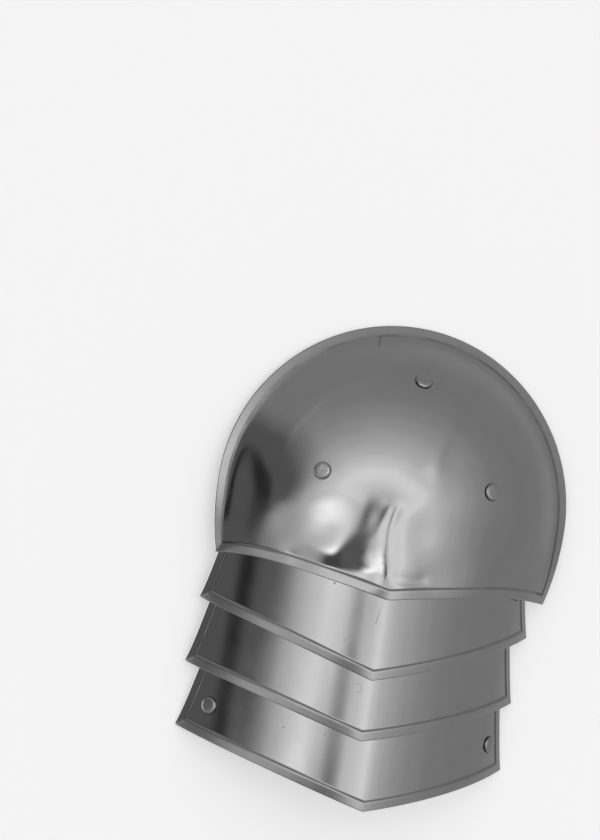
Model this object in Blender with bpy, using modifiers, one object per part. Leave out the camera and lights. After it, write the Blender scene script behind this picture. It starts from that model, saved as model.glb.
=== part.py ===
"""A plate shoulder defence: a domed cop and three lames, riveted to leather strips inside.

It lies as it would on a table, hollow side down. +Z points out of the shell, +Y towards the neck, and
the lames run down the arm towards -Y. All sizes are in metres.
"""

import math

import bmesh
import bpy
import numpy as np
from mathutils import Matrix, Vector

# Plates
PLATE = 0.0012
BORDER_WIDTH = 0.0060
BORDER_STEP = 0.0009
BORDER_RAISE = 0.0009
RIDGE_SLOPE = 0.12
RIDGE_ROUND = 0.008

# Lames: all three have one pattern, cut wider at its lower edge and rolled to an arch
LAME_HALF_WIDTH = 0.105
LAME_RISE = 0.058
LAME_POINT = 0.0275
LAME_SIDE_LENGTH = 0.056
LAME_RIDGE_LENGTH = 0.0615
LAME_FLARE_RATIO = 0.195
LAME_SIDE_HOLLOW = 0.0012
LAME_SIDE_TURN = 0.010
LAME_EDGE_BOW_LEFT = 0.0024
LAME_EDGE_BOW_RIGHT = 0.0004
LAME_STEP = 0.0417
FIRST_STEP = 0.0260
LIFT_STEP = 0.0020
NEST_GAP = 0.0038

# Cop: part of a ball with a flat rim, which turns into an arch at its lower edge. It covers the
# first lame, so its plan goes with the lames' width and its height with their rise.
COP_RADIUS = 1.06 * LAME_HALF_WIDTH
COP_CENTRE = 0.438 * LAME_HALF_WIDTH
COP_BALL_RADIUS = 1.22 * LAME_HALF_WIDTH
COP_KEEL_LENGTH = 0.61 * LAME_HALF_WIDTH
COP_HEIGHT = 0.948 * LAME_RISE
COP_RIM_SLOPE = 0.40
COP_RIM_BLEND = 0.003
COP_POINT = 0.0065
COP_POINT_SHARE = 0.28
COP_SHOULDER = 0.0035
COP_CORNER_LIFT = 0.0110
NARROWEST_ARCH_SHARE = 0.57

# The cop's border is narrower in plan where it stands steeper, near the lower corners
BORDER_PLAN_SHARE = 0.92
BORDER_LOSS_SHARE = 0.20
BORDER_LOSS_SINE = 0.40

# Rivets
RIVET_HEAD_RADIUS = 0.0051
RIVET_HEAD_HEIGHT = 0.0015
HIDDEN_HEAD_RADIUS = 0.0040
HIDDEN_HEAD_HEIGHT = 0.0010
SHANK_RADIUS = 0.0019
BURR_RADIUS = 0.0038
BURR_HEIGHT = 0.0012
HIDDEN_RIVET_INSET = 0.0085
HEAD_PROFILE = (
    # inset from the head's edge and height over the plate, in shares of the head's height
    (0.72, 1.0),
    (0.135, 0.775),
    (0.0, 0.415),
    (0.0, 0.0),
)

# Leather strips
LEATHER_WIDTH = 0.019
LEATHER_THICKNESS = 0.0025
LEATHER_END = 0.011
LEATHER_FLAT = 0.007
COP_STRIP_SHARES = (0.25, 0.5, 0.75)

# Gaps between separate pieces
SEAT_GAP = 0.0004
HOLE_GAP = 0.0005
LEATHER_GAP = 0.0006
EDGE_MARGIN = 0.004

# Taper of the lames' arch towards the neck, so that each one nests under the plate above it
LAME_TAPER = (NEST_GAP + PLATE - LIFT_STEP) / LAME_STEP

# Each lame hangs a little to one side and a little turned: lengths in shares of LAME_HALF_WIDTH
LAMES = (
    # name, steps below the first, lift in steps, across, ridge off centre, share of the point, turn in
    # degrees
    ("lame_1", 0, 2, -0.040, -0.022, 1.09, 1.8),
    ("lame_2", 1, 1, -0.056, 0.000, 0.94, 1.3),
    ("lame_3", 2, 0, -0.044, 0.075, 0.97, 0.6),
)

# Shown rivets at the ends of the leather strips, set by hand and so not quite even: places in the cop
# in shares of COP_RADIUS, and places in the last lame in shares of LAME_HALF_WIDTH
STRIPS = (
    # name, across and along in the cop, across and along in the last lame
    ("left", -0.495, 0.560, -0.835, 0.162),
    ("centre", 0.000, 1.127, None, None),
    ("right", 0.448, 0.600, 0.866, 0.162),
)

# Soft dents in the cop: places and radius in shares of COP_RADIUS, depth in shares of PLATE
DENTS = (
    # across, along, radius, depth
    (0.17, 0.06, 0.13, 0.55),
    (-0.16, 0.12, 0.16, 0.45),
    (0.02, 0.36, 0.20, 0.30),
)

# How finely the plates are divided
COP_SIDE_CELLS = 14
COP_RING_INSETS = (0.011, 0.018, 0.027, 0.038)
LAME_RIDGE_COLUMNS = (0.0, 0.006, 0.014)
LAME_FIELD_COLUMNS = 6
LAME_FIELD_ROWS = 4
SHOWN_RIVET_SIDES = 16
HIDDEN_RIVET_SIDES = 10
HOLE_SIDES = 10
CUTTER_LENGTH = 0.030
MERGE_DISTANCE = 0.00001
SHARP_ANGLE = math.radians(25)

# Steps and limits of the small searches below
SLOPE_STEP = 0.0005
SEARCH_STEPS = 40
LOWEST_CORNER_ANGLE = -0.9
TINY = 1e-10

STEEL = (0.42, 0.42, 0.425, 1.0)
LEATHER = (0.095, 0.052, 0.028, 1.0)


def smooth(value):
    """Rise smoothly from 0 to 1 as the value goes from 0 to 1."""
    share = np.clip(value, 0.0, 1.0)
    return share * share * (3.0 - 2.0 * share)


def ridge_drop(across):
    """How far the plate has fallen from its rounded ridge, beyond the fall of its arch."""
    return RIDGE_SLOPE * (np.sqrt(across ** 2 + RIDGE_ROUND ** 2) - RIDGE_ROUND)


def arch_radius(half_width, rise):
    """Radius of the arch that falls by the rise at the half width, together with the ridge."""
    fall = rise - ridge_drop(half_width)
    return (half_width ** 2 + fall ** 2) / (2.0 * fall)


def arch_height(across, half_width, rise):
    """Height of a ridged arch that stands on z = 0 at the half width."""
    radius = arch_radius(half_width, rise)
    return rise - radius + np.sqrt(np.maximum(radius ** 2 - across ** 2, 0.0)) - ridge_drop(across)


def border_raise(inset):
    """Height of the raised border at a distance from the plate's edge."""
    return BORDER_RAISE * (1.0 - smooth((inset - BORDER_WIDTH) / BORDER_STEP))


class Lame:
    """One arched plate, with its pattern, its place and its turn."""

    def __init__(self, name, steps, lift, across, ridge, point, turn):
        self.name = name
        self.point = point * LAME_POINT
        self.origin = Vector((across * LAME_HALF_WIDTH, -FIRST_STEP - steps * LAME_STEP, lift * LIFT_STEP))
        self.ridge = ridge * LAME_HALF_WIDTH
        self.turn = math.radians(turn)
        self.matrix = Matrix.Translation(self.origin) @ Matrix.Rotation(self.turn, 4, "Z")
        self.radius = arch_radius(LAME_HALF_WIDTH, LAME_RISE)
        self.half_arc = math.asin(LAME_HALF_WIDTH / self.radius)

    def edge_share(self, share):
        """Distance from the ridge in shares of that side's width, for a share from -1 to 1."""
        middle = math.asin(self.ridge / self.radius) / self.half_arc
        return np.where(share > middle, (share - middle) / (1.0 - middle), (middle - share) / (1.0 + middle))

    def lower(self, share):
        """Lower edge: a V whose sides bow in a little."""
        out = self.edge_share(share)
        left = share * self.half_arc * self.radius < self.ridge
        bow = np.where(left, LAME_EDGE_BOW_LEFT, LAME_EDGE_BOW_RIGHT)
        return bow * np.sin(math.pi * out) - self.point * (1.0 - out)

    def upper(self, share):
        middle = LAME_RIDGE_LENGTH - LAME_POINT
        return middle + (LAME_SIDE_LENGTH - middle) * self.edge_share(share)

    def half_width(self, along):
        """Half width of the plate, whose side edges turn out a little at the lower corners."""
        hollow = LAME_SIDE_HOLLOW * (1.0 - np.exp(-np.maximum(along, 0.0) / LAME_SIDE_TURN))
        return LAME_HALF_WIDTH - LAME_FLARE_RATIO * along - hollow

    def surface(self, share, along):
        """Outer point of the plate, from the share of its width and the distance along its axis."""
        half = self.half_width(along)
        angle = share * np.arcsin(half / (self.radius - LAME_TAPER * along))
        across = (self.radius - LAME_TAPER * along) * np.sin(angle)
        return across, along, self.height(across, along)

    def height(self, across, along):
        radius = self.radius - LAME_TAPER * along
        arch = np.sqrt(np.maximum(radius ** 2 - across ** 2, 0.0))
        return LAME_RISE - self.radius + arch - ridge_drop(across - self.ridge)

    def covers(self, across, along, margin):
        share = np.clip(across / self.half_width(along), -1.0, 1.0)
        return self.lower(share) - margin < along < self.upper(share) + margin


class Cop:
    """The domed shoulder plate. Its lower corners lie on y = 0."""

    name = "shoulder_cop"
    matrix = Matrix.Identity(4)

    def __init__(self):
        first = Lame(*LAMES[0])
        ridge_below = first.origin.z + float(first.height(first.ridge, FIRST_STEP - COP_POINT))
        self.rise = ridge_below + PLATE + NEST_GAP - COP_CORNER_LIFT
        self.fullness = LAME_HALF_WIDTH - math.sqrt(COP_RADIUS ** 2 - COP_CENTRE ** 2)

    def half_width(self, along):
        """Half width of the rim: a circle, a little fuller towards the lower corners."""
        below = np.maximum((COP_CENTRE - along) / COP_CENTRE, 0.0)
        circle = np.sqrt(np.maximum(COP_RADIUS ** 2 - (along - COP_CENTRE) ** 2, TINY))
        return circle + self.fullness * below ** 2

    def lower(self, across):
        """Lower edge: a flat bracket with a small point at the ridge."""
        share = np.abs(across) / LAME_HALF_WIDTH
        shoulder = COP_SHOULDER * np.sin(math.pi * np.clip(share, 0.0, 1.0) ** 2)
        point = np.exp(-share / COP_POINT_SHARE) - share * math.exp(-1.0 / COP_POINT_SHARE)
        return shoulder - COP_POINT * point

    def height(self, across, along):
        """Outer height of the plate over the plane of its rim, plus the lift of its lower corners."""
        circle = np.sqrt(np.maximum(COP_RADIUS ** 2 - (along - COP_CENTRE) ** 2, TINY))
        squeeze = circle / self.half_width(along)
        reach = np.hypot(across * squeeze, along - COP_CENTRE)
        ball = COP_HEIGHT - COP_BALL_RADIUS + np.sqrt(np.maximum(COP_BALL_RADIUS ** 2 - reach ** 2, 0.0))
        rim = (COP_RADIUS - reach) * COP_RIM_SLOPE
        dome = 0.5 * (ball + rim + np.sqrt((ball - rim) ** 2 + COP_RIM_BLEND ** 2))
        arch_width = np.maximum(self.half_width(along), NARROWEST_ARCH_SHARE * LAME_HALF_WIDTH)
        arch = arch_height(across, arch_width, self.rise)
        share = smooth((COP_KEEL_LENGTH - along) / COP_KEEL_LENGTH)
        lift = COP_CORNER_LIFT * (1.0 - along / (COP_CENTRE + COP_RADIUS))
        height = dome * (1.0 - share) + arch * share + lift
        for dent_x, dent_y, radius, depth in DENTS:
            away = np.hypot(across - dent_x * COP_RADIUS, along - dent_y * COP_RADIUS) / (radius * COP_RADIUS)
            height = height - depth * PLATE * np.exp(-2.0 * away ** 2)
        return height

    def covers(self, across, along, margin):
        inside = abs(across) < self.half_width(along) + margin
        return inside and along > self.lower(across) - margin

    def outline(self, inset, cells):
        """Closed ring in plan at an inset from the rim: right, top, left and lower side in turn."""
        corner = self.corner(inset)
        start = math.atan2(corner[1] - COP_CENTRE, corner[0])
        points = []
        for step in range(3 * cells):
            angle = start + (math.pi - 2.0 * start) * step / (3 * cells)
            points.append(self.rim_point(angle, inset))
        for step in range(cells):
            across = corner[0] * (2.0 * step / cells - 1.0)
            points.append((across, float(self.lower(across)) + inset))
        return points

    def rim_point(self, angle, inset):
        """Point of the inset rim in a direction from the cop's centre."""
        reach = COP_RADIUS
        if math.sin(angle) < 0.0:
            for _ in range(SEARCH_STEPS):
                along = COP_CENTRE + reach * math.sin(angle)
                reach = float(self.half_width(along)) / abs(math.cos(angle))
        reach -= inset * self.foreshortening(angle)
        return reach * math.cos(angle), COP_CENTRE + reach * math.sin(angle)

    def foreshortening(self, angle):
        """The border's width in plan: it stands steeper near the lower corners."""
        return BORDER_PLAN_SHARE - BORDER_LOSS_SHARE * float(smooth(-math.sin(angle) / BORDER_LOSS_SINE))

    def corner(self, inset):
        """Where the inset rim meets the inset lower edge."""
        low, high = LOWEST_CORNER_ANGLE, 0.0
        for _ in range(SEARCH_STEPS):
            middle = 0.5 * (low + high)
            across, along = self.rim_point(middle, inset)
            if along < float(self.lower(across)) + inset:
                low = middle
            else:
                high = middle
        return self.rim_point(high, inset)


def collection(name):
    group = bpy.data.collections.new(name)
    bpy.context.scene.collection.children.link(group)
    return group


def material(name, colour, metallic, roughness):
    made = bpy.data.materials.new(name)
    made.use_nodes = True
    shader = made.node_tree.nodes["Principled BSDF"]
    shader.inputs["Base Color"].default_value = colour
    shader.inputs["Metallic"].default_value = metallic
    shader.inputs["Roughness"].default_value = roughness
    return made


def add_object(name, mesh, group, finish):
    made = bpy.data.objects.new(name, mesh)
    group.objects.link(made)
    mesh.materials.append(finish)
    return made


def shade(mesh):
    mesh.shade_smooth()
    mesh.set_sharp_from_angle(angle=SHARP_ANGLE)


def mesh_from(name, points, faces):
    mesh = bpy.data.meshes.new(name)
    mesh.from_pydata([tuple(float(value) for value in point) for point in points], [], faces)
    mesh.validate()
    return mesh


def thicken(plate):
    """Give a sheet its wall, inwards from the outer surface."""
    wall = plate.modifiers.new("Wall", "SOLIDIFY")
    wall.thickness = PLATE
    wall.offset = -1.0


def lame_columns(lame):
    """Shares of the width at which the plate is divided, with lines at the border and the ridge."""
    half_arc_length = lame.radius * lame.half_arc
    border = [1.0, 1.0 - BORDER_WIDTH / half_arc_length, 1.0 - (BORDER_WIDTH + BORDER_STEP) / half_arc_length]
    middle = math.asin(lame.ridge / lame.radius) / lame.half_arc
    columns = {middle}
    for side in (-1.0, 1.0):
        columns.update(side * share for share in border)
        near = [middle + side * offset / half_arc_length for offset in LAME_RIDGE_COLUMNS[1:]]
        columns.update(near)
        for step in range(1, LAME_FIELD_COLUMNS):
            share = step / LAME_FIELD_COLUMNS
            columns.add(near[-1] * (1.0 - share) + side * border[-1] * share)
    return sorted(columns)


def build_lame(lame, group, finish):
    columns = np.array(lame_columns(lame))
    rows = [0.0, BORDER_WIDTH, BORDER_WIDTH + BORDER_STEP]
    edge = 1.0 - np.abs(columns)
    side_inset = edge * lame.radius * lame.half_arc
    points = []
    count = len(rows) + LAME_FIELD_ROWS
    for row in range(count):
        low = lame.lower(columns)
        high = lame.upper(columns)
        if row < len(rows):
            along = low + rows[row]
            low_inset = rows[row]
        else:
            share = (row - len(rows) + 1) / LAME_FIELD_ROWS
            along = (low + rows[-1]) * (1.0 - share) + high * share
            low_inset = BORDER_WIDTH + BORDER_STEP
        across, along, height = lame.surface(columns, along)
        raised = np.maximum(border_raise(side_inset), border_raise(low_inset))
        radius = lame.radius - LAME_TAPER * along
        points.extend(zip(across + raised * across / radius, along,
                          height + raised * np.sqrt(1.0 - (across / radius) ** 2)))
    width = len(columns)
    faces = []
    for row in range(count - 1):
        for column in range(width - 1):
            first = row * width + column
            faces.append((first, first + 1, first + width + 1, first + width))
    plate = add_object(lame.name, mesh_from(lame.name, points, faces), group, finish)
    plate.matrix_world = lame.matrix
    shade(plate.data)
    thicken(plate)
    return plate


def build_cop(cop, group, finish):
    cells = COP_SIDE_CELLS
    insets = (0.0, BORDER_WIDTH, BORDER_WIDTH + BORDER_STEP) + COP_RING_INSETS
    points = []
    for inset in insets:
        for across, along in cop.outline(inset, cells):
            raised = float(border_raise(inset))
            points.append((across, along, float(cop.height(across, along)) + raised))
    around = 4 * cells
    faces = []
    for ring in range(len(insets) - 1):
        for step in range(around):
            after = (step + 1) % around
            faces.append((ring * around + step, ring * around + after,
                          (ring + 1) * around + after, (ring + 1) * around + step))
    field_faces(points, faces, (len(insets) - 1) * around, cells, cop)
    plate = add_object(cop.name, mesh_from(cop.name, points, faces), group, finish)
    shade(plate.data)
    thicken(plate)
    return plate


def field_faces(points, faces, first, cells, cop):
    """Fill the innermost ring with a grid that meets its points, blended between the four sides."""
    ring = [np.array(point[:2]) for point in points[first:first + 4 * cells]]
    right = ring[0:cells + 1]
    top = ring[cells:2 * cells + 1]
    left = ring[2 * cells:3 * cells + 1]
    lower = ring[3 * cells:] + [ring[0]]
    index = {}
    for row in range(cells + 1):
        for column in range(cells + 1):
            if column == cells:
                index[row, column] = first + row
            elif row == cells:
                index[row, column] = first + cells + (cells - column)
            elif column == 0:
                index[row, column] = first + 3 * cells - row
            elif row == 0:
                index[row, column] = first + 3 * cells + column
            else:
                u, v = column / cells, row / cells
                sides = (1 - u) * left[cells - row] + u * right[row]
                ends = (1 - v) * lower[column] + v * top[cells - column]
                corners = ((1 - u) * (1 - v) * lower[0] + u * (1 - v) * right[0]
                           + (1 - u) * v * left[0] + u * v * top[0])
                across, along = sides + ends - corners
                index[row, column] = len(points)
                points.append((across, along, float(cop.height(across, along))))
    for row in range(cells):
        for column in range(cells):
            faces.append((index[row, column], index[row, column + 1],
                          index[row + 1, column + 1], index[row + 1, column]))


def world_height(plate, spot):
    """Outer height of a plate above a spot of the ground plane."""
    local = plate.matrix.inverted() @ Vector((spot[0], spot[1], 0.0))
    return float(plate.height(local.x, local.y)) + plate.matrix.translation.z


def world_normal(plate, spot):
    x, y = spot[0], spot[1]
    rise_x = world_height(plate, (x + SLOPE_STEP, y)) - world_height(plate, (x - SLOPE_STEP, y))
    rise_y = world_height(plate, (x, y + SLOPE_STEP)) - world_height(plate, (x, y - SLOPE_STEP))
    return Vector((-rise_x, -rise_y, 2 * SLOPE_STEP)).normalized()


def lowest_plate(plates, spot, margin):
    """The innermost of the plates that lie over a spot."""
    over = []
    for plate in plates:
        local = plate.matrix.inverted() @ Vector((spot[0], spot[1], 0.0))
        if plate.covers(local.x, local.y, margin):
            over.append(plate)
    return min(over, key=lambda plate: world_height(plate, spot))


def extra_depth(plates, middle, normal, side):
    """How much deeper a strip's cross-section has to lie to clear every plate over it."""
    needed = PLATE + LEATHER_GAP + LEATHER_THICKNESS / 2
    short = 0.0
    for share in (-1.0, -0.5, 0.0, 0.5, 1.0):
        point = middle + side * share * LEATHER_WIDTH / 2
        clear = world_height(lowest_plate(plates, point, EDGE_MARGIN), point) - point.z
        short = max(short, needed - clear * normal.z)
    return short


def flat_run(plates, plate, spot, direction, before, after):
    """Three cross-sections of a strip that lies flat where a rivet holds it to its plate."""
    normal = world_normal(plate, spot)
    outer = Vector((spot[0], spot[1], world_height(plate, spot)))
    along = (direction - normal * direction.dot(normal)).normalized()
    side = along.cross(normal)
    middle = outer - normal * (PLATE + LEATHER_GAP + LEATHER_THICKNESS / 2)
    places = (-before, 0.0, after)
    deeper = max(extra_depth(plates, middle + along * place, normal, side) for place in places)
    middle = middle - normal * deeper
    grip = (outer - middle).dot(normal) + LEATHER_THICKNESS / 2
    return [(middle + along * place, normal, side) for place in places], grip


def free_section(plates, spot, direction):
    """Cross-section of a strip that only follows the innermost plate over it."""
    plate = lowest_plate(plates, spot, EDGE_MARGIN)
    sections, _ = flat_run(plates, plate, spot, direction, 0.0, 0.0)
    return sections[0]


def build_leather(name, sections, group, finish):
    """A flat strip lofted through its cross-sections."""
    points = []
    for middle, normal, side in sections:
        for across, up in ((-1, -1), (1, -1), (1, 1), (-1, 1)):
            points.append(middle + side * across * LEATHER_WIDTH / 2 + normal * up * LEATHER_THICKNESS / 2)
    faces = [(0, 1, 2, 3)]
    for number in range(len(sections) - 1):
        for corner in range(4):
            after = (corner + 1) % 4
            faces.append((4 * number + corner, 4 * number + 4 + corner, 4 * number + 4 + after,
                          4 * number + after))
    last = 4 * len(sections) - 4
    faces.append((last + 3, last + 2, last + 1, last))
    mesh = mesh_from(name, points, faces)
    recalculate(mesh)
    return add_object(name, mesh, group, finish)


def recalculate(mesh):
    """Turn all faces of a closed mesh outwards."""
    work = bmesh.new()
    work.from_mesh(mesh)
    bmesh.ops.recalc_face_normals(work, faces=work.faces)
    work.to_mesh(mesh)
    work.free()


def rivet_mesh(name, head_radius, head_height, grip):
    """A flat-headed rivet about z, z = 0 under its head, with a round burr hammered on inside."""
    profile = [(0.0, head_height)]
    profile += [(head_radius - inset * head_height, height * head_height) for inset, height in HEAD_PROFILE]
    profile += [
        (SHANK_RADIUS, 0.0),
        (SHANK_RADIUS, -grip),
        (BURR_RADIUS, -grip),
        (BURR_RADIUS, -grip - BURR_HEIGHT),
        (0.0, -grip - BURR_HEIGHT),
    ]
    mesh = bpy.data.meshes.new(name)
    edges = [(number, number + 1) for number in range(len(profile) - 1)]
    mesh.from_pydata([(radius, 0.0, height) for radius, height in profile], edges, [])
    return mesh


def build_rivet(name, plate, spot, hidden, grip, group, finish):
    """Seat a rivet square to its plate, its head just clear of the outer surface."""
    radius = HIDDEN_HEAD_RADIUS if hidden else RIVET_HEAD_RADIUS
    height = HIDDEN_HEAD_HEIGHT if hidden else RIVET_HEAD_HEIGHT
    rivet = add_object(name, rivet_mesh(name, radius, height, grip + 2 * SEAT_GAP), group, finish)
    normal = world_normal(plate, spot)
    outer = Vector((spot[0], spot[1], world_height(plate, spot)))
    turn = Vector((0.0, 0.0, 1.0)).rotation_difference(normal)
    rivet.matrix_world = Matrix.Translation(outer + normal * SEAT_GAP) @ turn.to_matrix().to_4x4()
    spin = rivet.modifiers.new("Turned", "SCREW")
    spin.angle = 2 * math.pi
    spin.steps = HIDDEN_RIVET_SIDES if hidden else SHOWN_RIVET_SIDES
    spin.render_steps = spin.steps
    spin.use_merge_vertices = True
    spin.merge_threshold = MERGE_DISTANCE
    spin.use_smooth_shade = False
    return rivet


def rivet_hole(rivet, target, cutters):
    """Cut a clear hole for a rivet's shank."""
    radius = SHANK_RADIUS + HOLE_GAP
    bpy.ops.mesh.primitive_cylinder_add(vertices=HOLE_SIDES, radius=radius, depth=CUTTER_LENGTH)
    cutter = bpy.context.object
    cutter.name = "cut_" + rivet.name + "_" + target.name
    cutter.matrix_world = rivet.matrix_world.copy()
    cutter.hide_render = True
    cutter.display_type = "WIRE"
    for group in list(cutter.users_collection):
        group.objects.unlink(cutter)
    cutters.objects.link(cutter)
    cut = target.modifiers.new("Hole " + rivet.name, "BOOLEAN")
    cut.operation = "DIFFERENCE"
    cut.solver = "EXACT"
    cut.object = cutter


def lame_spot(lame, across, along):
    """Spot of the ground plane for a place in a lame's own pattern."""
    point = lame.matrix @ Vector((across, along, 0.0))
    return point.x, point.y


def hidden_spot(lame, first, last):
    """Where a straight route from first to last crosses the line of a lame's hidden rivets."""
    low, high = 0.0, 1.0
    inverse = lame.matrix.inverted()
    for _ in range(SEARCH_STEPS):
        middle = 0.5 * (low + high)
        spot = Vector(first).lerp(Vector(last), middle)
        local = inverse @ Vector((spot.x, spot.y, 0.0))
        share = local.x / lame.half_width(local.y)
        if local.y > float(lame.upper(share)) - HIDDEN_RIVET_INSET:
            low = middle
        else:
            high = middle
    return tuple(Vector(first).lerp(Vector(last), high))


def strip_plan(cop, lames, cop_across, cop_along, lame_across, lame_along):
    """Where one leather strip is held or passes an edge, from the cop down to the last lame.

    Each row is a plate, a spot and what is there: a shown rivet, a hidden rivet or only a passed edge.
    """
    end = lames[-1]
    first = (cop_across * COP_RADIUS, cop_along * COP_RADIUS)
    if lame_across is None:
        last = lame_spot(end, end.ridge, 0.0)
    else:
        last = lame_spot(end, lame_across * LAME_HALF_WIDTH, lame_along * LAME_HALF_WIDTH)
    seats = [(cop, first, "shown")]
    seats += [(lame, hidden_spot(lame, first, last), "hidden") for lame in lames[:-1]]
    if lame_across is None:
        seats.append((end, hidden_spot(end, first, last), "hidden"))
    else:
        seats.append((end, hidden_spot(end, first, last), "passed"))
        seats.append((end, last, "shown"))
    return seats


def strip_sections(plates, seats):
    """Cross-sections of a strip past all its rivets, and the grip of each rivet."""
    rivets = [Vector((spot[0], spot[1], 0.0)) for _, spot, _ in seats]
    sections = []
    grips = []
    for number, (plate, _, _) in enumerate(seats):
        before = rivets[max(number - 1, 0)]
        after = rivets[min(number + 1, len(rivets) - 1)]
        direction = (after - before).normalized()
        up = HIDDEN_RIVET_INSET + EDGE_MARGIN if number else LEATHER_END
        down = LEATHER_END if number == len(seats) - 1 else LEATHER_FLAT
        run, grip = flat_run(plates, plate, rivets[number], direction, up, down)
        sections += run
        grips.append(grip)
        if number == 0:
            start = rivets[0] + direction * down
            end = rivets[1] - direction * (HIDDEN_RIVET_INSET + EDGE_MARGIN)
            for share in COP_STRIP_SHARES:
                sections.append(free_section(plates, start.lerp(end, share), direction))
    return sections, grips


def bounds(objects):
    """Lowest and highest corner of all finished shapes."""
    bpy.context.view_layer.update()
    graph = bpy.context.evaluated_depsgraph_get()
    corners = []
    for item in objects:
        shape = item.evaluated_get(graph)
        corners += [shape.matrix_world @ vertex.co for vertex in shape.to_mesh().vertices]
        shape.to_mesh_clear()
    return ([min(corner[axis] for corner in corners) for axis in range(3)],
            [max(corner[axis] for corner in corners) for axis in range(3)])


def centre(objects, cutters):
    """Move everything so that the model stands on z = 0, over the middle of its box."""
    low, high = bounds(objects)
    shift = Vector((-(low[0] + high[0]) / 2, -(low[1] + high[1]) / 2, -low[2]))
    for item in list(objects) + list(cutters):
        item.matrix_world = Matrix.Translation(shift) @ item.matrix_world


def main():
    for item in list(bpy.data.objects):
        bpy.data.objects.remove(item, do_unlink=True)
    group = collection("pauldron")
    cutters = collection("cutters")
    steel = material("polished_steel", STEEL, 1.0, 0.30)
    rivet_steel = material("rivet_steel", STEEL, 1.0, 0.38)
    hide = material("strip_leather", LEATHER, 0.0, 0.75)

    cop = Cop()
    lames = [Lame(*row) for row in LAMES]
    plates = [cop] + lames
    shells = {cop.name: build_cop(cop, group, steel)}
    for lame in lames:
        shells[lame.name] = build_lame(lame, group, steel)

    for name, *places in STRIPS:
        seats = strip_plan(cop, lames, *places)
        sections, grips = strip_sections(plates, seats)
        strip = build_leather("leather_" + name, sections, group, hide)
        for (plate, spot, kind), grip in zip(seats, grips):
            if kind == "passed":
                continue
            rivet_name = "rivet_" + plate.name + "_" + name
            rivet = build_rivet(rivet_name, plate, spot, kind == "hidden", grip, group, rivet_steel)
            rivet_hole(rivet, shells[plate.name], cutters)
            rivet_hole(rivet, strip, cutters)

    centre(group.objects, cutters.objects)


main()
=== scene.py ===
"""Looks of a plate pauldron: dense plates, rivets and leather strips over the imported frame, the floor,
the studio light and the camera."""

import math

import bmesh
import bpy
import numpy as np
from mathutils import Matrix, Vector


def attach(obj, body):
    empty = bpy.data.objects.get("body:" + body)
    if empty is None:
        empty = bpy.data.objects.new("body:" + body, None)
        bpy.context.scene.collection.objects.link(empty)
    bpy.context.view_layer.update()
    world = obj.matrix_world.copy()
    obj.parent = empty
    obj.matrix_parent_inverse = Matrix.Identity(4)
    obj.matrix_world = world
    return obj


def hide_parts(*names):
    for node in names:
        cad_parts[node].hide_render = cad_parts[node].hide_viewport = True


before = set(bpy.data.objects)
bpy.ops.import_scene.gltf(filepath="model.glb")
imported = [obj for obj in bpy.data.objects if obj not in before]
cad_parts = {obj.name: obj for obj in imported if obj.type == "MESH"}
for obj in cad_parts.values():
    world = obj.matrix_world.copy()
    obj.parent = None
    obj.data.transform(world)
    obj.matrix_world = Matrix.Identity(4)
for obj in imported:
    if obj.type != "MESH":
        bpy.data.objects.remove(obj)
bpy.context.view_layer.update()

# Plates
PLATE = 0.0012
RIDGE_SLOPE = 0.12
RIDGE_ROUND = 0.008

# Lames: all three have one pattern, cut wider at its lower edge and rolled to an arch
LAME_HALF_WIDTH = 0.105
LAME_RISE = 0.058
LAME_POINT = 0.0275
LAME_SIDE_LENGTH = 0.056
LAME_RIDGE_LENGTH = 0.0615
LAME_FLARE_RATIO = 0.195
LAME_SIDE_HOLLOW = 0.0012
LAME_SIDE_TURN = 0.010
LAME_EDGE_BOW_LEFT = 0.0024
LAME_EDGE_BOW_RIGHT = 0.0004
LAME_STEP = 0.0417
FIRST_STEP = 0.0260
LIFT_STEP = 0.0020
NEST_GAP = 0.0038

# Cop: part of a ball with a flat rim, which turns into an arch at its lower edge. It covers the
# first lame, so its plan goes with the lames' width and its height with their rise.
COP_RADIUS = 1.06 * LAME_HALF_WIDTH
COP_CENTRE = 0.438 * LAME_HALF_WIDTH
COP_BALL_RADIUS = 1.22 * LAME_HALF_WIDTH
COP_KEEL_LENGTH = 0.61 * LAME_HALF_WIDTH
COP_HEIGHT = 0.948 * LAME_RISE
COP_RIM_SLOPE = 0.40
COP_RIM_BLEND = 0.003
COP_POINT = 0.0065
COP_POINT_SHARE = 0.28
COP_SHOULDER = 0.0035
COP_CORNER_LIFT = 0.0110
NARROWEST_ARCH_SHARE = 0.57

# The cop's border is narrower in plan where it stands steeper, near the lower corners
BORDER_PLAN_SHARE = 0.92
BORDER_LOSS_SHARE = 0.20
BORDER_LOSS_SINE = 0.40

# Rivets
RIVET_HEAD_RADIUS = 0.0051
RIVET_HEAD_HEIGHT = 0.0015
HIDDEN_HEAD_RADIUS = 0.0040
HIDDEN_HEAD_HEIGHT = 0.0010
SHANK_RADIUS = 0.0019
BURR_RADIUS = 0.0038
BURR_HEIGHT = 0.0012
BURR_ROUND = 0.0004
BURR_SIDE_ROUND = 0.0003
BURR_LIP = 0.0001
HIDDEN_RIVET_INSET = 0.0085
HEAD_PROFILE = (
    # distance from the middle in shares of the head's radius, height in shares of the head's height
    (0.45, 0.99), (0.70, 0.95), (0.84, 0.86), (0.93, 0.70), (0.98, 0.48), (1.0, 0.25), (0.985, 0.0),
)
RIVET_SIDES = 48
HEAD_UNEVEN = (
    # waves round the head and their height in shares of its radius, where they start
    (2, 0.012, 1.0),
    (3, 0.008, 0.0),
)

# Leather strips
LEATHER_WIDTH = 0.019
LEATHER_THICKNESS = 0.0025
LEATHER_BEVEL = 0.0007
LEATHER_BEVEL_STEPS = 3
LEATHER_END = 0.011
LEATHER_FLAT = 0.007
COP_STRIP_SHARES = (0.25, 0.5, 0.75)

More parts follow.
